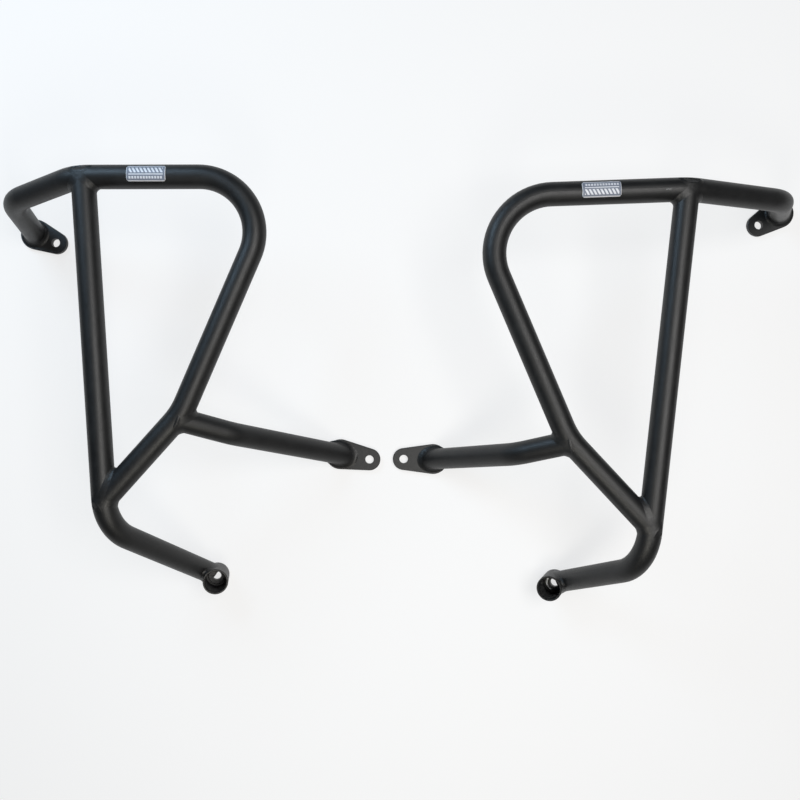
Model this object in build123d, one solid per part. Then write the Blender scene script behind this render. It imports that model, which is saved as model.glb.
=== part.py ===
from build123d import *
import os
from dataclasses import dataclass
from math import radians, sin

# A pair of motorcycle crash bars, left and right, lying on their three mounts with the outer side up.
# Frame: x to the right and y to the top of the pair as it lies, z up, origin on the floor below its middle.
# Each bar is a bent hoop tube, a down tube and a branch tube, welded together and to two lugs and a cup.

# Tube stock of both bars
tube_od = 25.4
tube_wall = 2.0
# Root gap between a coped tube end and the tube or cup that it is welded to
cope_gap = 0.1
# How far a tube is laid past the axis of the tube that it meets before it is coped
cope_overrun = 4.0
# Room between a weld bead and the coped tube, too small to see
weld_gap = 0.02

# Heights of the tube axes over the floor
hoop_height = 150.0
front_bend_height = 100.0
branch_bend_height = 120.0

# Bend radii that both bars share, to the centre line of the tube
front_bend_radius = 42.0
shoulder_radius = 60.0
diagonal_bend_radius = 80.0
down_bend_radius = 54.0
branch_bend_radius = 60.0

# Lugs: teardrop plates that lie flat, wide below the tube and narrow round the bolt
lug_thickness = 6.0
lug_foot_radius = 18.5
lug_bolt_radius = 13.5
lug_edge_break = 0.6
bolt_hole = 10.5

# Lower cup: a sleeve on a drilled base disc, open to the outer side
cup_od = 30.0
cup_wall = 2.2
cup_length = 42.0
cup_base_thickness = 4.0
cup_edge_break = 0.5
# Bush that stands on the base disc round the bolt hole
bush_od = 21.0
bush_height = 3.0
bush_edge_break = 0.8
# Height along the cup's axis at which the leg of the down tube points
leg_aim = 6.0

# Weld beads: how far a bead climbs the joining tube, and how far it reaches out over what the tube meets
weld_climb = 3.2
weld_reach = 2.4

# Label on the top rail
label_length = 41.0
label_width = 16.5
label_corner = 2.5
label_thickness = 0.4
label_tilt = 4.0


@dataclass
class Plan:
    """Plan points of one bar in mm from its tee joint: first to the rear of the bar, then up."""
    side: str
    hand: int
    tee: tuple
    shoulder: tuple
    front_bend: tuple
    upper_foot: tuple
    upper_bolt: tuple
    rear_bend: tuple
    rear_bend_radius: float
    diagonal_bend: tuple
    diagonal_end_drop: float
    down_bend: tuple
    cup: tuple
    cup_lean: float
    branch_root_drop: float
    branch_bend: tuple
    rear_foot: tuple
    rear_bolt: tuple
    label_place: float


# Distance between the tee joints of the two bars, and how much higher the left one lies
tee_spacing = 643.0
tee_step = 12.5

left_plan = Plan(
    side="left",
    hand=1,
    tee=(-tee_spacing / 2, tee_step / 2),
    shoulder=(-8.0, 0.0),
    front_bend=(-100.0, -14.0),
    upper_foot=(-116.0, -31.0),
    upper_bolt=(-91.0, -41.5),
    rear_bend=(213.0, 0.5),
    rear_bend_radius=59.0,
    diagonal_bend=(104.5, -251.5),
    diagonal_end_drop=344.0,
    down_bend=(24.0, -373.0),
    cup=(109.0, -454.5),
    cup_lean=10.0,
    branch_root_drop=7.5,
    branch_bend=(152.0, -274.0),
    rear_foot=(263.0, -304.5),
    rear_bolt=(299.0, -311.0),
    label_place=78.5,
)

right_plan = Plan(
    side="right",
    hand=-1,
    tee=(tee_spacing / 2, -tee_step / 2),
    shoulder=(-1.5, -0.5),
    front_bend=(-124.0, -0.5),
    upper_foot=(-165.0, 8.0),
    upper_bolt=(-140.0, -7.0),
    rear_bend=(236.5, -9.0),
    rear_bend_radius=63.0,
    diagonal_bend=(127.5, -265.5),
    diagonal_end_drop=361.0,
    down_bend=(44.5, -402.0),
    cup=(113.0, -450.0),
    cup_lean=21.0,
    branch_root_drop=5.5,
    branch_bend=(178.5, -284.0),
    rear_foot=(265.0, -298.0),
    rear_bolt=(301.5, -298.0),
    label_place=96.0,
)

tube_radius = tube_od / 2
cup_radius = cup_od / 2
cutter_reach = 3 * tube_od


def place(plan, point, height):
    """A plan point of one bar, at a height over the floor."""
    x, y = point
    return Vector(plan.tee[0] + plan.hand * x, plan.tee[1] + y, height)


def along(start, end, distance):
    """The point at a distance from start on the line to end."""
    return start + (end - start).normalized() * distance


def nearest(points, radii, target):
    """The point on a bent centre line that is nearest to a target."""
    return FilletPolyline(*points, radius=radii).closest_points(target)[0]


def bent_bar(points, radii, radius):
    """A round bar of one radius along straight runs joined by bends."""
    path = FilletPolyline(*points, radius=radii)
    section = Plane(origin=path @ 0, z_dir=path % 0) * Circle(radius)
    return sweep(section, path=path)


def bent_tube(points, radii):
    """A hollow tube of the bars' stock along straight runs joined by bends."""
    return bent_bar(points, radii, tube_radius) - bent_bar(points, radii, tube_radius - tube_wall)


def largest(shape):
    """The main solid of a cut, without the crumbs that fall off it."""
    return max(shape.solids(), key=lambda solid: solid.volume)


def floor_block(point):
    """The space under a lug's upper face, which trims a tube that stands on it."""
    return Pos(point.X, point.Y, lug_thickness / 2 - cutter_reach / 2) * Box(
        2 * cutter_reach, 2 * cutter_reach, lug_thickness + cutter_reach
    )


def routes(plan):
    """The corner points of the three tubes, with their bend radii, and the short runs used to cope them."""
    shoulder = place(plan, plan.shoulder, hoop_height)
    front_bend = place(plan, plan.front_bend, front_bend_height)
    upper_foot = place(plan, plan.upper_foot, lug_thickness)
    rear_bend = place(plan, plan.rear_bend, hoop_height)
    diagonal_bend = place(plan, plan.diagonal_bend, hoop_height)
    down_bend = place(plan, plan.down_bend, hoop_height)
    branch_bend = place(plan, plan.branch_bend, branch_bend_height)
    rear_foot = place(plan, plan.rear_foot, lug_thickness)
    leg_end = (cup_place(plan) * Pos(0, 0, leg_aim)).position
    bends = [front_bend_radius, shoulder_radius, plan.rear_bend_radius, diagonal_bend_radius]
    rail = ([front_bend, shoulder, along(shoulder, rear_bend, cutter_reach)], bends[1:2])
    tee = nearest(*rail, place(plan, (0, 0), hoop_height))
    diagonal_end = along(tee, down_bend, plan.diagonal_end_drop)
    elbow = ([along(diagonal_bend, rear_bend, cutter_reach), diagonal_bend, diagonal_end], bends[3:])
    branch_root = nearest(*elbow, along(diagonal_bend, diagonal_end, plan.branch_root_drop))
    hoop_start = along(upper_foot, front_bend, -tube_od)
    hoop_end = along(diagonal_end, diagonal_bend, -cope_overrun)
    down_start = along(tee, down_bend, -cope_overrun)
    branch_start = along(branch_root, branch_bend, -cope_overrun)
    branch_end = along(rear_foot, branch_bend, -tube_od)
    return {
        "hoop": ([hoop_start, front_bend, shoulder, rear_bend, diagonal_bend, hoop_end], bends),
        "down": ([down_start, down_bend, leg_end], [down_bend_radius]),
        "branch": ([branch_start, branch_bend, branch_end], [branch_bend_radius]),
        "stub": ([hoop_start, front_bend, shoulder], bends[:1]),
        "rail": rail,
        "diagonal": ([rear_bend, diagonal_bend, hoop_end], bends[3:]),
        "elbow": elbow,
        "knee": ([along(diagonal_end, tee, cutter_reach), down_bend, leg_end], [down_bend_radius]),
    }


def cup_place(plan):
    """The place of the cup, with its axis leaning to the rear and the low edge of its base on the floor."""
    base = place(plan, plan.cup, cup_radius * sin(radians(plan.cup_lean)))
    return Location(base, (0, plan.hand * plan.cup_lean, 0))


def lug(foot, bolt):
    """A teardrop plate on the floor from the tube's foot to the bolt, drilled for the bolt."""
    foot, bolt = Vector(foot.X, foot.Y), Vector(bolt.X, bolt.Y)
    ends = (Pos(foot) * Circle(lug_foot_radius)).edges() + (Pos(bolt) * Circle(lug_bolt_radius)).edges()
    plate = extrude(make_hull(ends), lug_thickness)
    rims = plate.edges().group_by(Axis.Z)
    plate = chamfer(rims[0] + rims[-1], lug_edge_break)
    return plate - Pos(bolt) * Cylinder(bolt_hole / 2, 3 * lug_thickness)


def cup_sleeve(plan):
    """The wall of the cup, standing on its base disc."""
    height = cup_length - cup_base_thickness
    upright = (Align.CENTER, Align.CENTER, Align.MIN)
    outer = Cylinder(cup_radius, height, align=upright)
    wall = outer - Cylinder(cup_radius - cup_wall, height, align=upright)
    wall = chamfer(wall.edges().group_by(Axis.Z)[-1], cup_edge_break)
    return cup_place(plan) * (Pos(0, 0, cup_base_thickness) * wall)


def cup_base(plan):
    """The disc that closes the far end of the cup, with a bush round its bolt hole."""
    upright = (Align.CENTER, Align.CENTER, Align.MIN)
    height = cup_base_thickness + bush_height
    bush = Cylinder(bush_od / 2, height, align=upright)
    bush = chamfer(bush.edges().group_by(Axis.Z)[-1], bush_edge_break)
    base = Cylinder(cup_radius, cup_base_thickness, align=upright) + bush
    return cup_place(plan) * (base - Cylinder(bolt_hole / 2, height, align=upright))


def cup_column(plan, radius, below, above):
    """A solid column on the cup's axis, from below its base to above its mouth."""
    column = Cylinder(radius, below + cup_length + above, align=(Align.CENTER, Align.CENTER, Align.MIN))
    return cup_place(plan) * (Pos(0, 0, -below) * column)


def tee_weld(host, joiner):
    """The bead round a coped tube on the tube that it meets, each given by its corner points and bends."""
    bead = bent_bar(*host, tube_radius + weld_climb) & bent_bar(*joiner, tube_radius + weld_reach)
    return largest(bead - bent_bar(*host, tube_radius) - bent_bar(*joiner, tube_radius + weld_gap))


def foot_weld(route, foot):
    """The bead round a tube that stands on a lug."""
    layer = Pos(foot.X, foot.Y, lug_thickness + weld_climb / 2) * Box(cutter_reach, cutter_reach, weld_climb)
    return largest((bent_bar(*route, tube_radius + weld_reach) & layer) - bent_bar(*route, tube_radius))


def cup_weld(plan, route):
    """The bead between the leg of the down tube and the side of the cup."""
    bead = bent_bar(*route, tube_radius + weld_reach) & cup_column(plan, cup_radius + weld_climb, 0, 0)
    return largest(bead - bent_bar(*route, tube_radius) - cup_column(plan, cup_radius, tube_od, tube_od))


def rail_label(plan):
    """A thin label wrapped over the top rail."""
    shoulder = place(plan, plan.shoulder, hoop_height)
    rear_bend = place(plan, plan.rear_bend, hoop_height)
    middle = along(shoulder, rear_bend, plan.label_place)
    seat = Plane(origin=middle, x_dir=rear_bend - shoulder, z_dir=(0, 0, 1)).location
    seat = seat * Rot(-plan.hand * label_tilt, 0, 0)
    outline = extrude(RectangleRounded(label_length, label_width, label_corner), tube_od)
    skin = Cylinder(tube_radius + label_thickness, tube_od * 2) - Cylinder(tube_radius, tube_od * 2)
    return seat * ((Rot(0, 90, 0) * skin) & outline)


def crash_bar(plan):
    """All pieces of one bar, by name."""
    route = routes(plan)
    upper_foot = place(plan, plan.upper_foot, lug_thickness)
    rear_foot = place(plan, plan.rear_foot, lug_thickness)
    coping_radius = tube_radius + cope_gap
    hoop = bent_tube(*route["hoop"]) - bent_bar(*route["knee"], coping_radius) - floor_block(upper_foot)
    down = bent_tube(*route["down"]) - bent_bar(*route["rail"], coping_radius)
    down = down - cup_column(plan, cup_radius + cope_gap, tube_od, tube_od)
    branch = bent_tube(*route["branch"]) - bent_bar(*route["elbow"], coping_radius) - floor_block(rear_foot)
    pieces = {
        "hoop_tube": largest(hoop),
        "down_tube": largest(down),
        "branch_tube": largest(branch),
        "upper_lug": lug(upper_foot, place(plan, plan.upper_bolt, 0)),
        "rear_lug": lug(rear_foot, place(plan, plan.rear_bolt, 0)),
        "lower_cup_sleeve": cup_sleeve(plan),
        "lower_cup_base": cup_base(plan),
        "top_joint_weld": tee_weld(route["rail"], route["down"]),
        "diagonal_joint_weld": tee_weld(route["knee"], route["diagonal"]),
        "branch_joint_weld": tee_weld(route["elbow"], route["branch"]),
        "upper_lug_weld": foot_weld(route["stub"], upper_foot),
        "rear_lug_weld": foot_weld(route["branch"], rear_foot),
        "cup_weld": cup_weld(plan, route["down"]),
        "rail_label": rail_label(plan),
    }
    return {f"{plan.side}_{name}": piece for name, piece in pieces.items()}


def main():
    plans = [left_plan, right_plan]
    pieces = {}
    for plan in plans:
        pieces.update(crash_bar(plan))
    pair = Compound(children=[Compound(piece.solids()) for piece in pieces.values()])
    middle = pair.bounding_box().center()
    centred = Pos(-middle.X, -middle.Y, 0)
    os.makedirs("parts", exist_ok=True)
    for name, piece in pieces.items():
        export_step(centred * Compound(piece.solids()), f"parts/{name}.step")
    for plan in plans:
        for name, point in (("upper bolt", plan.upper_bolt), ("rear bolt", plan.rear_bolt)):
            print(plan.side, name, (centred * Pos(place(plan, point, 0))).position)
        print(plan.side, "cup base", centred * cup_place(plan))


main()
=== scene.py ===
import math

import bpy
import numpy as np
from mathutils import Matrix, Vector


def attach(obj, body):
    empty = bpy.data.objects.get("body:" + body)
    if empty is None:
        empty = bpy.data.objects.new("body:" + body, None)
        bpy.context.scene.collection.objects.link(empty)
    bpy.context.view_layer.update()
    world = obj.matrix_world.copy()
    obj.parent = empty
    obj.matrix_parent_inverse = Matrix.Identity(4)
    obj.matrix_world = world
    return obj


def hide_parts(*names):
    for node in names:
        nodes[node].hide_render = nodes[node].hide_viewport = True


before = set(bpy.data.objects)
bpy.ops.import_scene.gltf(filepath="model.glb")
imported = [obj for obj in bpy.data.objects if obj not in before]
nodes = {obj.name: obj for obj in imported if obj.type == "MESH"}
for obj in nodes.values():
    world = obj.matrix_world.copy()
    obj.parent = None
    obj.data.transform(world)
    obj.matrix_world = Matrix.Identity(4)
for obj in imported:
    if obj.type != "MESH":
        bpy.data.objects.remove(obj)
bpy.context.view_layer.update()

# Sizes are in mm, as in the part's source, and become metres where a mesh, a material or a camera is made.
# Lights and the floor are placed in metres.
MM = 0.001
scene = bpy.context.scene

# Tube stock, heights and bends of both bars
TUBE_RADIUS = 12.7
HOOP_HEIGHT = 150.0
FRONT_BEND_HEIGHT = 100.0
BRANCH_BEND_HEIGHT = 120.0
LUG_THICKNESS = 6.0
SHOULDER_RADIUS = 60.0
DIAGONAL_RADIUS = 80.0
DOWN_RADIUS = 54.0
CUP_RADIUS = 15.0
CUP_LENGTH = 42.0
# Top of the bush in the cup, over the cup's lower face
BUSH_TOP = 7.0
# Height on the cup's axis that the leg is led to
LEG_AIM = 6.0
# How far a coped tube runs past its joint
COPE_OVERRUN = 4.0
# Length of a tube run that is enough for the bead on it
RUN = 80.0
# Number of points on each stretch of a centre line that is searched for its nearest point
LINE_POINTS = 8000

# Plan points of each bar from its tee joint: first to the rear of the bar, then up. The drops and the
# label's place are lengths along a tube, and the cup's lean is in degrees.
bars = {
    "left": dict(
        hand=1, tee=(-346.0, 231.75), shoulder=(-8.0, 0.0), front_bend=(-100.0, -14.0),
        upper_foot=(-116.0, -31.0), rear_bend=(213.0, 0.5), diagonal_bend=(104.5, -251.5),
        diagonal_end_drop=344.0, down_bend=(24.0, -373.0), cup=(109.0, -454.5), cup_lean=10.0,
        branch_root_drop=7.5, branch_bend=(152.0, -274.0), rear_foot=(263.0, -304.5), label_place=78.5),
    "right": dict(
        hand=-1, tee=(297.0, 219.25), shoulder=(-1.5, -0.5), front_bend=(-124.0, -0.5),
        upper_foot=(-165.0, 8.0), rear_bend=(236.5, -9.0), diagonal_bend=(127.5, -265.5),
        diagonal_end_drop=361.0, down_bend=(44.5, -402.0), cup=(113.0, -450.0), cup_lean=21.0,
        branch_root_drop=5.5, branch_bend=(178.5, -284.0), rear_foot=(265.0, -298.0), label_place=96.0),
}


# Points, directions and centre lines

def unit(vector):
    return vector / np.linalg.norm(vector)


def along(start, end, distance):
    """The point at a distance from start on the line to end."""
    return start + unit(end - start) * distance


def on_plan(bar, name, height):
    """A plan point of a bar, at a height over the floor."""
    x, y = bar[name]
    return np.array([bar["tee"][0] + bar["hand"] * x, bar["tee"][1] + y, height])


def cup_axis(bar):
    """The middle of the cup's lower face and the direction of its axis."""
    lean = math.radians(bar["cup_lean"])
    base = on_plan(bar, "cup", CUP_RADIUS * math.sin(lean))
    return base, np.array([bar["hand"] * math.sin(lean), 0.0, math.cos(lean)])


def bend_points(before, corner, after, radius):
    """Start, end and centre of the bend between two straight runs, and half the angle between the runs."""
    inward, outward = unit(before - corner), unit(after - corner)
    half = math.acos(inward @ outward) / 2
    setback = radius / math.tan(half)
    centre = corner + unit(inward + outward) * radius / math.sin(half)
    return corner + inward * setback, corner + outward * setback, centre, half


def nearest_on(before, corner, after, radius, target):
    """The point of a bent centre line that is nearest to a target."""
    bend_start, bend_end, centre, _ = bend_points(before, corner, after, radius)
    shares = np.linspace(0.0, 1.0, LINE_POINTS)[:, None]
    first = before + shares * (bend_start - before)
    last = bend_end + shares * (after - bend_end)
    spokes = bend_start + shares * (bend_end - bend_start) - centre
    arc = centre + radius * spokes / np.linalg.norm(spokes, axis=1)[:, None]
    line = np.concatenate([first, arc, last])
    return line[np.argmin(np.linalg.norm(line - target, axis=1))]


# Distances in mm from arrays of points to the surfaces that a bead joins. Below zero is inside.

def run_distance(points, start, end):
    """Distance to a straight centre line."""
    run = end - start
    share = np.clip((points - start) @ run / (run @ run), 0.0, 1.0)
    return np.linalg.norm(points - start - share[:, None] * run, axis=1)


def bend_distance(points, before, corner, after, radius):
    """Distance to a centre line of two straight runs and the bend between them."""
    bend_start, bend_end, centre, half = bend_points(before, corner, after, radius)
    x_dir = unit(bend_start - centre)
    normal = unit(np.cross(unit(before - corner), unit(after - corner)))
    y_dir = np.cross(normal, x_dir)
    y_dir = y_dir * np.sign(y_dir @ (bend_end - centre))
    local = points - centre
    x, y, z = local @ x_dir, local @ y_dir, local @ normal
    turn = np.arctan2(y, x)
    arc = np.hypot(np.hypot(x, y) - radius, z)
    arc = np.where((turn >= 0.0) & (turn <= math.pi - 2 * half), arc, np.inf)
    straight = np.minimum(run_distance(points, before, bend_start), run_distance(points, bend_end, after))
    return np.minimum(straight, arc)


def capped_distance(points, start, axis, radius, length):
    """Distance to the surface of a round bar with flat ends."""
    local = points - start
    height = local @ axis
    ring = np.linalg.norm(local - height[:, None] * axis, axis=1) - radius
    end = np.maximum(-height, height - length)
    outside = np.hypot(np.maximum(ring, 0.0), np.maximum(end, 0.0))
    return outside + np.minimum(np.maximum(ring, end), 0.0)


def lug_face(points):
    """Distance to the plane of the lugs' upper faces."""
    return points[:, 2] - LUG_THICKNESS


# Each of the next four makes a function of points that gives the distance to one surface.

def tube_surface(before, corner, after, radius):
    """The surface of a bent tube."""
    return lambda points: bend_distance(points, before, corner, after, radius) - TUBE_RADIUS


def cup_wall(base, direction):
    """The outer surface of a cup."""
    return lambda points: capped_distance(points, base, direction, CUP_RADIUS, CUP_LENGTH)


def square_tube(joint, axis):
    """The surface of a tube that ends square at its joint."""
    return lambda points: capped_distance(points, joint, axis, TUBE_RADIUS, RUN)


# The lip at the end of a coped tube runs out under the bead in a ramp of this angle and length
LIP_ANGLE = math.radians(40.0)
LIP_RAMP = 5.0


def coped_tube(joint, axis):
    """The surface of a level tube coped onto another, with its lip run out in a ramp."""
    past = COPE_OVERRUN + LIP_RAMP

    def distance(points):
        local = points - joint
        over_crown = np.abs(local[:, 2]) - TUBE_RADIUS
        slope = over_crown * math.cos(LIP_ANGLE) - (local @ axis + COPE_OVERRUN) * math.sin(LIP_ANGLE)
        return np.maximum(capped_distance(points, joint - past * axis, axis, TUBE_RADIUS, RUN + past), slope)

    return distance


# Pieces that take the place of plain nodes

def new_piece(name, points, faces, replaced, seat):
    """A smooth piece from points in mm, at its seat, that stands in for a node of the frame."""
    mesh = bpy.data.meshes.new(name)
    mesh.from_pydata((points * MM).tolist(), [], faces)
    mesh.shade_smooth()
    piece = bpy.data.objects.new(name, mesh)
    scene.collection.objects.link(piece)
    piece.matrix_world = seat
    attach(piece, "root")
    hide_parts(replaced)
    return piece


# Weld beads

# How far from a seam the bead still rises over the metal, how hollow its section is (1 is flat, 2 runs out
# smoothly into the metal), how far its edge dips under the surface, and how deep it is rooted
BEAD_SPREAD = 4.6
BEAD_HOLLOW = 1.4
BEAD_SUNK = 0.12
BEAD_ROOT = 1.2
# Least share of the bead's height and width, where the two surfaces meet at a shallow angle
BEAD_SHALLOW = 0.18
# How far apart the slopes of two square surfaces are, where the bead comes to its full size
SQUARE_SLOPES_APART = math.sqrt(2.0)
# Ripples across the bead, as the welder's pool sets
RIPPLE_SHARE = 0.03
RIPPLE_PITCH = 3.2
# A direction that no joining tube has, from which the turn round a tube is counted
TURN_FROM = (0.0, 0.6, 0.8)
FLOOR_CLEARANCE = 0.3
# Grid of the bead's surface, and how its points are then moved onto the exact surface
BEAD_CELL = 0.7
SETTLING_PASSES = 2
LEAST_SQUARED_SLOPE = 0.2
SAME_DISTANCE = 1e-9
# Step in mm for the slope of a field
SLOPE_STEP = 0.01
# Points on a seam, and halvings of the run in which each of them is searched
SEAM_POINTS = 48
SEAM_HALVINGS = 24


def slopes(field, points):
    """The slope of a field of distances at points."""
    here = field(points)
    return np.stack([(field(points + SLOPE_STEP * d) - here) / SLOPE_STEP for d in np.eye(3)], axis=1)


def across(axis):
    """Two directions that are square to an axis and to each other."""
    side = unit(np.cross(axis, TURN_FROM))
    return side, np.cross(axis, side)


def bead_fields(points, host, joiner, joint, axis):
    """The bead's upper surface and its closed body, as distances, for points near a joint."""
    to_host, to_joiner = host(points), joiner(points)
    apart = np.linalg.norm(slopes(host, points) - slopes(joiner, points), axis=1)
    apart = np.minimum(apart, SQUARE_SLOPES_APART)
    opening = np.maximum(apart * np.sqrt(1.0 - apart ** 2 / 4), BEAD_SHALLOW)
    spread = np.abs(to_host - to_joiner) / opening
    section = np.maximum(1.0 - spread / BEAD_SPREAD, 0.0) ** BEAD_HOLLOW
    lift = opening * section * BEAD_SPREAD / (2 * BEAD_HOLLOW)
    side, other_side = across(axis)
    local = points - joint
    turn = np.arctan2(local @ other_side, local @ side)
    ripples = round(2 * math.pi * TUBE_RADIUS / RIPPLE_PITCH)
    ripple = 1.0 + RIPPLE_SHARE * np.cos(ripples * turn)
    metal = np.minimum(to_host, to_joiner)
    top = metal - lift * ripple + BEAD_SUNK
    body = np.maximum(top, -(metal + BEAD_ROOT))
    body = np.maximum(body, spread - BEAD_SPREAD)
    return top, np.maximum(body, FLOOR_CLEARANCE - points[:, 2])


def seam_points(host, joint, axis):
    """Points of the seam, by moving out along the joining tube until it leaves the other part."""
    side, other_side = across(axis)
    turns = np.linspace(0.0, 2 * math.pi, SEAM_POINTS, endpoint=False)[:, None]
    ring = joint + TUBE_RADIUS * (np.cos(turns) * side + np.sin(turns) * other_side)
    near, far = np.zeros(len(ring)), np.full(len(ring), RUN)
    for _ in range(SEAM_HALVINGS):
        middle = (near + far) / 2
        inside = host(ring + middle[:, None] * axis) < 0.0
        near, far = np.where(inside, middle, near), np.where(inside, far, middle)
    return ring + far[:, None] * axis


def net_vertices(field):
    """One vertex for each cell of a grid that its zero surface cuts, and the vertices' numbers by cell."""
    cells = tuple(size - 1 for size in field.shape)
    total, number = np.zeros(cells + (3,)), np.zeros(cells)
    below = field < 0.0
    for axis in range(3):
        for corner in ((0, 0), (0, 1), (1, 0), (1, 1)):
            offset = list(corner)
            offset.insert(axis, 0)
            first = tuple(slice(o, o + n) for o, n in zip(offset, cells))
            spot = np.broadcast_to(np.array(offset, float), cells + (3,)).copy()
            offset[axis] = 1
            second = tuple(slice(o, o + n) for o, n in zip(offset, cells))
            cut = below[first] != below[second]
            step = np.where(cut, field[first] - field[second], 1.0)
            spot[..., axis] = field[first] / step
            total += np.where(cut[..., None], spot, 0.0)
            number += cut
    used = number > 0
    index = np.full(cells, -1)
    index[used] = np.arange(used.sum())
    return np.argwhere(used) + total[used] / number[used][:, None], index


def net_quads(field, index):
    """A quad for each edge of a grid that its zero surface cuts, facing away from what is below zero."""
    below = field < 0.0
    faces = []
    for axis in range(3):
        inner = [slice(1, -1)] * 3
        inner[axis] = slice(0, -1)
        ahead = list(inner)
        ahead[axis] = slice(1, None)
        low, high = below[tuple(inner)], below[tuple(ahead)]
        edges = np.argwhere(low != high)
        rising = low[tuple(edges.T)]
        one, two = (axis + 1) % 3, (axis + 2) % 3
        edges[:, one] += 1
        edges[:, two] += 1
        around = []
        for back_one, back_two in ((1, 1), (0, 1), (0, 0), (1, 0)):
            cell = edges.copy()
            cell[:, one] -= back_one
            cell[:, two] -= back_two
            around.append(index[tuple(cell.T)])
        quad = np.stack(around, axis=1)
        quad[~rising] = quad[~rising][:, ::-1]
        faces.append(quad)
    return np.concatenate(faces)


def weld_bead(name, replaced, host, joiner, joint, axis):
    """A closed bead along the seam of a tube and the part that it is welded to."""
    def fields(points):
        return bead_fields(points, host, joiner, joint, axis)

    seam = seam_points(host, joint, axis)
    margin = BEAD_SPREAD + COPE_OVERRUN + 2 * BEAD_CELL
    low, high = seam.min(axis=0) - margin, seam.max(axis=0) + margin
    counts = np.ceil((high - low) / BEAD_CELL).astype(int) + 1
    grid = np.stack(np.meshgrid(*[np.arange(n) for n in counts], indexing="ij"), axis=-1)
    _, body = fields(low + grid.reshape(-1, 3) * BEAD_CELL)
    body = body.reshape(counts)
    vertices, index = net_vertices(body)
    quads = net_quads(body, index)
    vertices = low + vertices * BEAD_CELL
    for _ in range(SETTLING_PASSES):
        top, body = fields(vertices)
        slope = slopes(lambda points: fields(points)[0], vertices)
        move = -(top / np.maximum((slope ** 2).sum(axis=1), LEAST_SQUARED_SLOPE))[:, None] * slope
        crest = (np.abs(top - body) < SAME_DISTANCE) & (np.abs(top) < BEAD_CELL)
        vertices = vertices + np.where(crest[:, None], move, 0.0)
    return new_piece(name, vertices, quads.tolist(), replaced, Matrix())


def joints_of(bar):
    """Each weld of a bar: the surface under it, the kind of tube end, the joint and a point up the tube."""
    shoulder = on_plan(bar, "shoulder", HOOP_HEIGHT)
    front_bend = on_plan(bar, "front_bend", FRONT_BEND_HEIGHT)
    rear_bend = on_plan(bar, "rear_bend", HOOP_HEIGHT)
    diagonal_bend = on_plan(bar, "diagonal_bend", HOOP_HEIGHT)
    down_bend = on_plan(bar, "down_bend", HOOP_HEIGHT)
    branch_bend = on_plan(bar, "branch_bend", BRANCH_BEND_HEIGHT)
    upper_foot = on_plan(bar, "upper_foot", LUG_THICKNESS)
    rear_foot = on_plan(bar, "rear_foot", LUG_THICKNESS)
    cup_base, cup_direction = cup_axis(bar)
    leg_end = cup_base + cup_direction * LEG_AIM

    rail = (front_bend, shoulder, along(shoulder, rear_bend, RUN), SHOULDER_RADIUS)
    tee = nearest_on(*rail, np.array([*bar["tee"], HOOP_HEIGHT]))
    diagonal_end = along(tee, down_bend, bar["diagonal_end_drop"])
    elbow = (along(diagonal_bend, rear_bend, RUN), diagonal_bend, diagonal_end, DIAGONAL_RADIUS)
    branch_root = nearest_on(*elbow, along(diagonal_bend, diagonal_end, bar["branch_root_drop"]))
    knee = (along(diagonal_end, tee, RUN), down_bend, leg_end, DOWN_RADIUS)
    return {
        "top_joint_weld": (tube_surface(*rail), coped_tube, tee, down_bend),
        "diagonal_joint_weld": (tube_surface(*knee), coped_tube, diagonal_end, diagonal_bend),
        "branch_joint_weld": (tube_surface(*elbow), square_tube, branch_root, branch_bend),
        "upper_lug_weld": (lug_face, square_tube, upper_foot, front_bend),
        "rear_lug_weld": (lug_face, square_tube, rear_foot, branch_bend),
        "cup_weld": (cup_wall(cup_base, cup_direction), square_tube, leg_end, down_bend),
    }


weld_pieces = []
for side, bar in bars.items():
    for weld, (host, joiner, joint, toward) in joints_of(bar).items():
        axis = unit(toward - joint)
        if host is lug_face:
            # The tube starts under the face, so that its slanted end meets the face all the way round
            joint = joint - axis * TUBE_RADIUS
        bead = weld_bead(f"{side}_{weld}_bead", f"{side}_{weld}", host, joiner(joint, axis), joint, axis)
        weld_pieces.append(bead)


# Labels

LABEL_HALF_LENGTH = 20.5
LABEL_HALF_WIDTH = 8.25
LABEL_CORNER = 2.5
LABEL_THICKNESS = 0.4
# Degrees that the label is turned round the rail
LABEL_TILT = 4.0
# The film thins out to its rim over this width, and its underside lies just in the tube
LABEL_RIM = 0.6
LABEL_RIM_THICKNESS = 0.12
LABEL_SUNK = 0.06
# Points round a corner, along the straight edge and across the film
CORNER_POINTS = 7
EDGE_POINTS = 37
ACROSS_POINTS = 25


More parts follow.
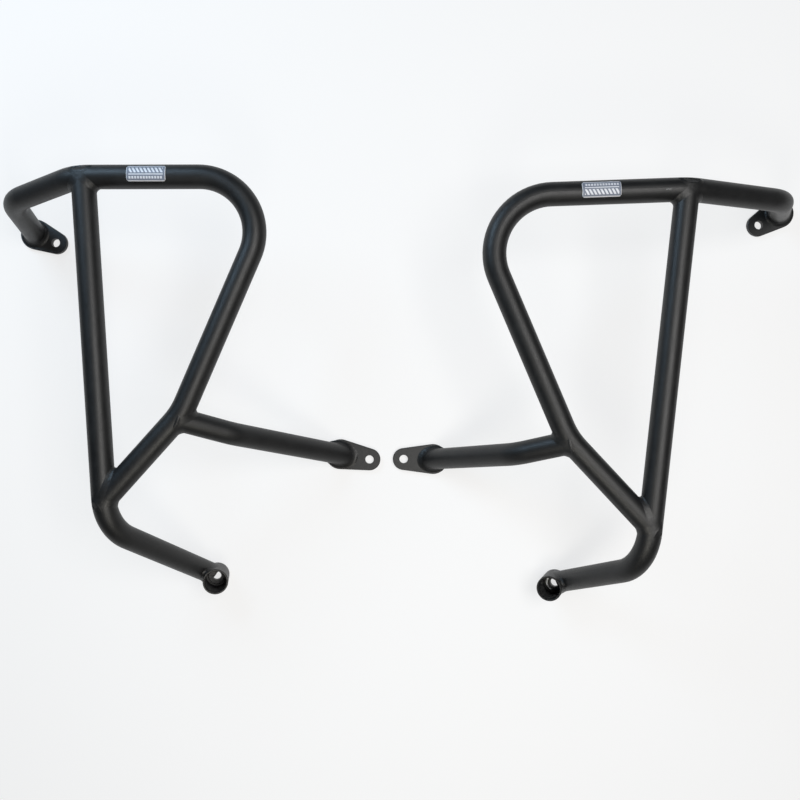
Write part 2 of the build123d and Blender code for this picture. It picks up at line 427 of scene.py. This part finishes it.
def label_points():
    """Points of the film's top and underside on a tube along X, in columns, and the number of columns."""
    turns = np.linspace(0.0, math.pi / 2, CORNER_POINTS)
    ends = LABEL_HALF_LENGTH - LABEL_CORNER * (1.0 - np.sin(turns))
    span = np.linspace(-ends[0], ends[0], EDGE_POINTS)[1:-1]
    columns = np.concatenate([-ends[::-1], span, ends])
    cut = np.maximum(np.abs(columns) - ends[0], 0.0)
    halves = LABEL_HALF_WIDTH - LABEL_CORNER + np.sqrt(LABEL_CORNER ** 2 - cut ** 2)
    x = np.repeat(columns[:, None], ACROSS_POINTS, axis=1)
    y = halves[:, None] * np.linspace(-1.0, 1.0, ACROSS_POINTS)
    inset = np.minimum(halves[:, None] - np.abs(y), LABEL_HALF_LENGTH - np.abs(x))
    share = np.clip(inset / LABEL_RIM, 0.0, 1.0)
    film = LABEL_RIM_THICKNESS + (LABEL_THICKNESS - LABEL_RIM_THICKNESS) * np.sin(share * math.pi / 2)
    top = np.stack([x, y, np.sqrt((TUBE_RADIUS + film) ** 2 - y ** 2)], axis=-1).reshape(-1, 3)
    under = np.stack([x, y, np.sqrt((TUBE_RADIUS - LABEL_SUNK) ** 2 - y ** 2)], axis=-1).reshape(-1, 3)
    return top, under, len(columns)


def label_faces(columns, stride):
    """Faces of a film whose top and underside are two like grids of points, and of its rim."""
    count = columns * stride
    faces = []
    for i in range(columns - 1):
        for j in range(stride - 1):
            a, b = i * stride + j, (i + 1) * stride + j
            faces.append((a, b, b + 1, a + 1))
            faces.append((count + a + 1, count + b + 1, count + b, count + a))
    rim = [i * stride for i in range(columns)]
    rim += [(columns - 1) * stride + j for j in range(1, stride)]
    rim += [i * stride + stride - 1 for i in range(columns - 2, -1, -1)]
    rim += [j for j in range(stride - 2, 0, -1)]
    for a, b in zip(rim, rim[1:] + rim[:1]):
        faces.append((b, a, count + a, count + b))
    return faces


def label_piece(side, bar):
    """A thin film with round corners that is wrapped over the top rail."""
    shoulder = on_plan(bar, "shoulder", HOOP_HEIGHT)
    rear_bend = on_plan(bar, "rear_bend", HOOP_HEIGHT)
    rail = unit(rear_bend - shoulder)
    up = np.array([0.0, 0.0, 1.0])
    seat = Matrix(np.stack([rail, np.cross(up, rail), up], axis=1).tolist()).to_4x4()
    seat.translation = Vector(along(shoulder, rear_bend, bar["label_place"])) * MM
    seat = seat @ Matrix.Rotation(math.radians(-bar["hand"] * LABEL_TILT), 4, "X")
    top, under, columns = label_points()
    faces = label_faces(columns, ACROSS_POINTS)
    points = np.concatenate([top, under])
    return new_piece(f"{side}_rail_label_film", points, faces, f"{side}_rail_label", seat)


label_pieces = [label_piece(side, bar) for side, bar in bars.items()]


# Material nodes

def new_material(name):
    """An empty node material, with its node tree and its shader."""
    material = bpy.data.materials.new(name)
    material.use_nodes = True
    tree = material.node_tree
    tree.nodes.clear()
    out = tree.nodes.new("ShaderNodeOutputMaterial")
    shader = tree.nodes.new("ShaderNodeBsdfPrincipled")
    tree.links.new(shader.outputs["BSDF"], out.inputs["Surface"])
    return material, tree, shader


def add(tree, kind, inputs, **settings):
    """A shader node with its settings. Each input is a value or the output of another node."""
    node = tree.nodes.new(kind)
    for name, value in settings.items():
        setattr(node, name, value)
    for name, value in inputs.items():
        if isinstance(value, bpy.types.NodeSocket):
            tree.links.new(value, node.inputs[name])
        else:
            node.inputs[name].default_value = value
    return node


def maths(tree, operation, first, second=0.0):
    return add(tree, "ShaderNodeMath", {0: first, 1: second}, operation=operation).outputs[0]


def vector_maths(tree, operation, first, second=(0.0, 0.0, 0.0)):
    node = add(tree, "ShaderNodeVectorMath", {0: first, 1: second}, operation=operation)
    return node.outputs["Value" if operation in ("LENGTH", "DOT_PRODUCT") else "Vector"]


def ramp(tree, value, low, high, to_low=0.0, to_high=1.0):
    """A smooth step of a value between two limits."""
    limits = {"Value": value, "From Min": low, "From Max": high, "To Min": to_low, "To Max": to_high}
    return add(tree, "ShaderNodeMapRange", limits, interpolation_type="SMOOTHSTEP").outputs["Result"]


def noise(tree, place, scale, detail, roughness=0.5):
    inputs = {"Vector": place, "Scale": scale, "Detail": detail, "Roughness": roughness}
    return add(tree, "ShaderNodeTexNoise", inputs).outputs["Fac"]


def mix(tree, share, first, second):
    """A blend of two colours, each given as a colour or an output."""
    first = first if isinstance(first, bpy.types.NodeSocket) else (*first, 1.0)
    second = second if isinstance(second, bpy.types.NodeSocket) else (*second, 1.0)
    return add(tree, "ShaderNodeMix", {0: share, 6: first, 7: second}, data_type="RGBA").outputs[2]


def between(tree, value, low, high):
    """One inside two limits, and zero outside them."""
    above = maths(tree, "GREATER_THAN", value, low)
    return maths(tree, "MULTIPLY", above, maths(tree, "LESS_THAN", value, high))


def stripes(tree, value, pitch, share):
    """One on the first share of each pitch of a value, and zero on the rest."""
    return maths(tree, "LESS_THAN", maths(tree, "FRACT", maths(tree, "DIVIDE", value, pitch)), share)


def bump(tree, shader, strength, height, pattern):
    """Raises a pattern by a height in mm."""
    inputs = {"Strength": strength, "Distance": height * MM, "Height": pattern}
    tree.links.new(add(tree, "ShaderNodeBump", inputs).outputs["Normal"], shader.inputs["Normal"])


# Powder coat

# Colour of the dark and light mottling, range of roughness, and height of the grain in mm
BLACK_COAT = dict(dark=(0.0045, 0.0047, 0.0050), light=(0.0080, 0.0083, 0.0087),
                  rough=(0.43, 0.53), grain_height=0.10)
FLAT_COAT = dict(dark=(0.0090, 0.0092, 0.0095), light=(0.0150, 0.0153, 0.0157),
                 rough=(0.45, 0.56), grain_height=0.12)
BEAD_COAT = dict(dark=(0.0055, 0.0057, 0.0060), light=(0.0100, 0.0103, 0.0107),
                 rough=(0.41, 0.52), grain_height=0.08)
COAT_SPECULAR = 0.5
# Noise that mottles the colour, that is the grain, and that is the orange peel
CLOUD = dict(scale=60.0, detail=6.0, roughness=0.6)
GRAIN = dict(scale=900.0, detail=3.0)
PEEL = dict(scale=240.0, detail=2.0)
# The part of a noise's range that is spread over the whole effect
MOTTLE_RANGE = (0.30, 0.72)
NOISE_RANGE = (0.3, 0.7)
# How far the mottling moves the roughness, how high the peel is beside the grain, and how strongly both show
GLOSS_DRIFT = 0.02
PEEL_SHARE = 1.5
GRAIN_STRENGTH = 0.4

# Pale rub mark on the right top rail: colour, middle, reach each way, soft edge and speckle
SCUFF_GREY = (0.17, 0.17, 0.17)
SCUFF_PLACE = (273.0, 215.7, 163.0)
SCUFF_REACH = (4.2, 1.6, 4.0)
SCUFF_EDGE = (0.45, 1.0)
SCUFF_SPECKLE = dict(scale=1400.0, detail=2.0)
SCUFF_SPECKLE_RANGE = (0.46, 0.60)


def in_metres(size):
    return tuple(v * MM for v in size)


def scuff_mark(tree, place):
    """The share of the rub mark at a place."""
    local = vector_maths(tree, "SUBTRACT", place, in_metres(SCUFF_PLACE))
    local = vector_maths(tree, "DIVIDE", local, in_metres(SCUFF_REACH))
    spot = ramp(tree, vector_maths(tree, "LENGTH", local), *SCUFF_EDGE, 1.0, 0.0)
    speckle = ramp(tree, noise(tree, place, **SCUFF_SPECKLE), *SCUFF_SPECKLE_RANGE)
    return maths(tree, "MULTIPLY", spot, speckle)


def coat_material(name, dark, light, rough, grain_height):
    """Satin powder coat: a mottled dark colour, an uneven gloss, a fine grain and a soft orange peel."""
    material, tree, shader = new_material(name)
    place = add(tree, "ShaderNodeTexCoord", {}).outputs["Object"]
    cloud = noise(tree, place, **CLOUD)
    grain = noise(tree, place, **GRAIN)
    peel = noise(tree, place, **PEEL)
    colour = mix(tree, ramp(tree, cloud, *MOTTLE_RANGE), dark, light)
    tree.links.new(mix(tree, scuff_mark(tree, place), colour, SCUFF_GREY), shader.inputs["Base Color"])
    gloss = maths(tree, "ADD", ramp(tree, grain, *NOISE_RANGE, *rough),
                  ramp(tree, cloud, *NOISE_RANGE, -GLOSS_DRIFT, GLOSS_DRIFT))
    tree.links.new(gloss, shader.inputs["Roughness"])
    surface = maths(tree, "ADD", grain, maths(tree, "MULTIPLY", peel, PEEL_SHARE))
    bump(tree, shader, GRAIN_STRENGTH, grain_height, surface)
    shader.inputs["Specular IOR Level"].default_value = COAT_SPECULAR
    return material, tree, shader, place, colour, gloss


# Worn rim of the right bush, with a painted highlight: the bare metal is made pale on one side

# Pale, half diffuse grey of the rubbed metal, so that the arc shows bright as a painted highlight
BARE_METAL_GLINT = (0.72, 0.73, 0.75)
BARE_GLINT_METALLIC = 0.6
BARE_GLINT_ROUGHNESS = 0.52
# The wear and its painted highlight set in between two distances from the bush's axis, two heights from its
# top in mm, and two shares of the direction that it lies in
WEAR_GLINT_RADIUS = (8.0, 8.6)
WEAR_GLINT_HEIGHT = (-2.2, -1.4)
WEAR_GLINT_FACING = (0.40, 0.70)
WEAR_GLINT_TOWARD = (-0.985, -0.17, 0.0)
WEAR_GLINT_SPECKLE = dict(scale=500.0, detail=4.0)
WEAR_GLINT_SPECKLE_RANGE = (0.34, 0.46)


def wear_glint_base_material(name, coat, centre, axis):
    """The coat of the cup's base, rubbed to bare metal on one side of the bush's rim, where a pale arc is a
    painted highlight.
    """
    material, tree, shader, place, colour, gloss = coat_material(name, **coat)
    local = vector_maths(tree, "SUBTRACT", place, centre)
    radius = vector_maths(tree, "LENGTH", vector_maths(tree, "CROSS_PRODUCT", local, axis))
    facing = maths(tree, "DIVIDE", vector_maths(tree, "DOT_PRODUCT", local, WEAR_GLINT_TOWARD), radius)
    height = vector_maths(tree, "DOT_PRODUCT", local, axis)
    wear_and_glint = maths(tree, "MULTIPLY", ramp(tree, radius, *in_metres(WEAR_GLINT_RADIUS)),
                 ramp(tree, height, *in_metres(WEAR_GLINT_HEIGHT)))
    wear_and_glint = maths(tree, "MULTIPLY", wear_and_glint, ramp(tree, facing, *WEAR_GLINT_FACING))
    speckle = ramp(tree, noise(tree, place, **WEAR_GLINT_SPECKLE), *WEAR_GLINT_SPECKLE_RANGE)
    wear_and_glint = maths(tree, "MULTIPLY", wear_and_glint, speckle)
    # Rubbed bare metal and a painted highlight on one side of the rim
    tree.links.new(mix(tree, wear_and_glint, colour, BARE_METAL_GLINT), shader.inputs["Base Color"])
    tree.links.new(maths(tree, "MULTIPLY", wear_and_glint, BARE_GLINT_METALLIC), shader.inputs["Metallic"])
    kept = maths(tree, "MULTIPLY", gloss, maths(tree, "SUBTRACT", 1.0, wear_and_glint))
    rough = maths(tree, "ADD", kept, maths(tree, "MULTIPLY", wear_and_glint, BARE_GLINT_ROUGHNESS))
    tree.links.new(rough, shader.inputs["Roughness"])
    return material


# Label film

LABEL_SILVER = (0.72, 0.73, 0.77)
LABEL_GROUND = (0.17, 0.19, 0.24)
LABEL_METALLIC = 0.1
LABEL_ROUGHNESS = (0.44, 0.58)
# Brushed look of the silver: stretch and noise, and the share of the colour that is left where it is darkest
BRUSH_STRETCH = (1.0, 12.0, 12.0)
BRUSH = dict(scale=260.0, detail=3.0)
BRUSH_DARKEST = 0.86
# Silver print in mm from the label's middle: its length, and the rows that its three lines take up
PRINT_FIELD = (-18.0, 18.0)
BARS_ROW = (0.3, 5.9)
RULE_ROW = (-2.0, -0.9)
BLOCKS_ROW = (-5.9, -3.4)
BAR_PITCH = 4.0
BAR_SHARE = 0.58
BAR_SLANT = 0.55
BLOCK_PITCH = 3.0
BLOCK_SHARE = 0.70
# The dark ground, inside the silver border
GROUND_LENGTH = (-19.9, 19.9)
GROUND_WIDTH = (-7.3, 7.3)
PRINT_STRENGTH = 0.3
PRINT_HEIGHT = 0.05


def label_material():
    """A silver film with a plain print on a dark ground: slanted bars, a rule and a row of blocks."""
    material, tree, shader = new_material("label_film")
    place = add(tree, "ShaderNodeTexCoord", {}).outputs["Object"]
    in_mm = vector_maths(tree, "MULTIPLY", place, (1.0 / MM,) * 3)
    split = add(tree, "ShaderNodeSeparateXYZ", {0: in_mm})
    x, y = split.outputs["X"], split.outputs["Y"]
    slanted = maths(tree, "ADD", x, maths(tree, "MULTIPLY", y, BAR_SLANT))
    bars_row = stripes(tree, slanted, BAR_PITCH, BAR_SHARE)
    bars_row = maths(tree, "MULTIPLY", bars_row, between(tree, y, *BARS_ROW))
    blocks_row = stripes(tree, x, BLOCK_PITCH, BLOCK_SHARE)
    blocks_row = maths(tree, "MULTIPLY", blocks_row, between(tree, y, *BLOCKS_ROW))
    rows = maths(tree, "MAXIMUM", between(tree, y, *RULE_ROW), blocks_row)
    rows = maths(tree, "MAXIMUM", bars_row, rows)
    printed = maths(tree, "MULTIPLY", between(tree, x, *PRINT_FIELD), rows)
    ground = maths(tree, "MULTIPLY", between(tree, x, *GROUND_LENGTH), between(tree, y, *GROUND_WIDTH))
    silver = maths(tree, "MAXIMUM", printed, maths(tree, "SUBTRACT", 1.0, ground))
    brushed = noise(tree, vector_maths(tree, "MULTIPLY", place, BRUSH_STRETCH), **BRUSH)
    darkest = tuple(BRUSH_DARKEST * v for v in LABEL_SILVER)
    foil = mix(tree, ramp(tree, brushed, *NOISE_RANGE), darkest, LABEL_SILVER)
    tree.links.new(mix(tree, silver, LABEL_GROUND, foil), shader.inputs["Base Color"])
    tree.links.new(maths(tree, "MULTIPLY", silver, LABEL_METALLIC), shader.inputs["Metallic"])
    tree.links.new(ramp(tree, brushed, *NOISE_RANGE, *LABEL_ROUGHNESS), shader.inputs["Roughness"])
    bump(tree, shader, PRINT_STRENGTH, PRINT_HEIGHT, silver)
    return material


# Materials on their pieces

recipes = {"tube_coat": BLACK_COAT, "lug_coat": FLAT_COAT, "cup_coat": BLACK_COAT,
           "cup_base_coat": FLAT_COAT, "weld_coat": BEAD_COAT}
coats = {
    "hoop_tube": "tube_coat", "down_tube": "tube_coat", "branch_tube": "tube_coat",
    "upper_lug": "lug_coat", "rear_lug": "lug_coat",
    "lower_cup_sleeve": "cup_coat", "lower_cup_base": "cup_base_coat",
}
materials = {name: coat_material(name, **recipe)[0] for name, recipe in recipes.items()}
for side in bars:
    for node_name, coat in coats.items():
        node = nodes[f"{side}_{node_name}"]
        node.data.materials.clear()
        node.data.materials.append(materials[coat])
cup_base, cup_direction = cup_axis(bars["right"])
bush_top = tuple((cup_base + BUSH_TOP * cup_direction) * MM)
wear_glint_base = wear_glint_base_material("cup_base_wear_glint", FLAT_COAT, bush_top, tuple(cup_direction))
# The right cup's base gets the rubbed rim with its painted highlight
nodes["right_lower_cup_base"].data.materials[0] = wear_glint_base
for piece in weld_pieces:
    piece.data.materials.append(materials["weld_coat"])
label_film = label_material()
for piece in label_pieces:
    piece.data.materials.append(label_film)


# Camera

CAMERA_PLACE = (-9.03, -5.22, 1000.5)
CAMERA_SENSOR = 36.0
CAMERA_LENS = 36.0

camera_data = bpy.data.cameras.new("camera")
camera_data.sensor_width = CAMERA_SENSOR
camera_data.lens = CAMERA_LENS
camera = bpy.data.objects.new("camera", camera_data)
camera.location = Vector(CAMERA_PLACE) * MM
scene.collection.objects.link(camera)
scene.camera = camera


# Floor

FLOOR_HALF = 8.0
# The floor lies this far under the part
FLOOR_DROP = 0.0002
FLOOR_COLOUR = (0.9, 0.9, 0.9, 1.0)
FLOOR_ROUGHNESS = 0.9
FLOOR_SPECULAR = 0.1
# The floor shows as plain white by this share, to the camera and in gloss, and keeps the shadows in the rest
FLOOR_WHITE_SHARE = 0.7


def floor_material():
    """Pale paper that shows partly as plain white."""
    material, tree, shader = new_material("floor_paper")
    shader.inputs["Base Color"].default_value = FLOOR_COLOUR
    shader.inputs["Roughness"].default_value = FLOOR_ROUGHNESS
    shader.inputs["Specular IOR Level"].default_value = FLOOR_SPECULAR
    light_path = add(tree, "ShaderNodeLightPath", {}).outputs
    seen = maths(tree, "MAXIMUM", light_path["Is Camera Ray"], light_path["Is Glossy Ray"])
    seen = maths(tree, "MAXIMUM", seen, light_path["Is Transmission Ray"])
    white = add(tree, "ShaderNodeEmission", {"Color": (1.0, 1.0, 1.0, 1.0), "Strength": 1.0})
    share = maths(tree, "MULTIPLY", seen, FLOOR_WHITE_SHARE)
    shown = add(tree, "ShaderNodeMixShader",
                {0: share, 1: shader.outputs["BSDF"], 2: white.outputs["Emission"]})
    tree.links.new(shown.outputs["Shader"], tree.nodes["Material Output"].inputs["Surface"])
    return material


floor_mesh = bpy.data.meshes.new("floor")
floor_corners = [(x * FLOOR_HALF, y * FLOOR_HALF, 0.0) for x, y in ((-1, -1), (1, -1), (1, 1), (-1, 1))]
floor_mesh.from_pydata(floor_corners, [], [(0, 1, 2, 3)])
floor = bpy.data.objects.new("floor", floor_mesh)
floor.location.z = -FLOOR_DROP
scene.collection.objects.link(floor)
floor.data.materials.append(floor_material())


# Lights

WORLD_COLOUR = (0.9, 0.95, 1.0, 1.0)
WORLD_STRENGTH = 0.04

world = bpy.data.worlds.new("studio")
world.use_nodes = True
background = world.node_tree.nodes["Background"]
background.inputs["Color"].default_value = WORLD_COLOUR
background.inputs["Strength"].default_value = WORLD_STRENGTH
scene.world = world


def panel(name, place, aim, size, watts, colour):
    """A flat soft light at a place, turned to an aim point."""
    lamp = bpy.data.lights.new(name, "AREA")
    lamp.shape = "RECTANGLE"
    lamp.size, lamp.size_y = size
    lamp.energy = watts
    lamp.color = colour
    holder = bpy.data.objects.new(name, lamp)
    holder.location = place
    holder.rotation_mode = "QUATERNION"
    holder.rotation_quaternion = (Vector(aim) - Vector(place)).to_track_quat("-Z", "Y")
    scene.collection.objects.link(holder)


panel("key_light", place=(0.5, 0.1, 1.6), aim=(-0.1, 0.0, 0.1), size=(1.0, 0.8),
      watts=17.0, colour=(1.0, 0.98, 0.96))
panel("window_light", place=(-0.8, 0.8, 0.85), aim=(-0.1, 0.1, 0.1), size=(0.6, 0.5),
      watts=8.5, colour=(0.56, 0.78, 1.0))
panel("front_light", place=(0.02, -0.46, 0.85), aim=(-0.03, 0.0, 0.1), size=(0.3, 0.3),
      watts=2.2, colour=(1.0, 0.96, 0.86))

scene.view_settings.view_transform = "Standard"
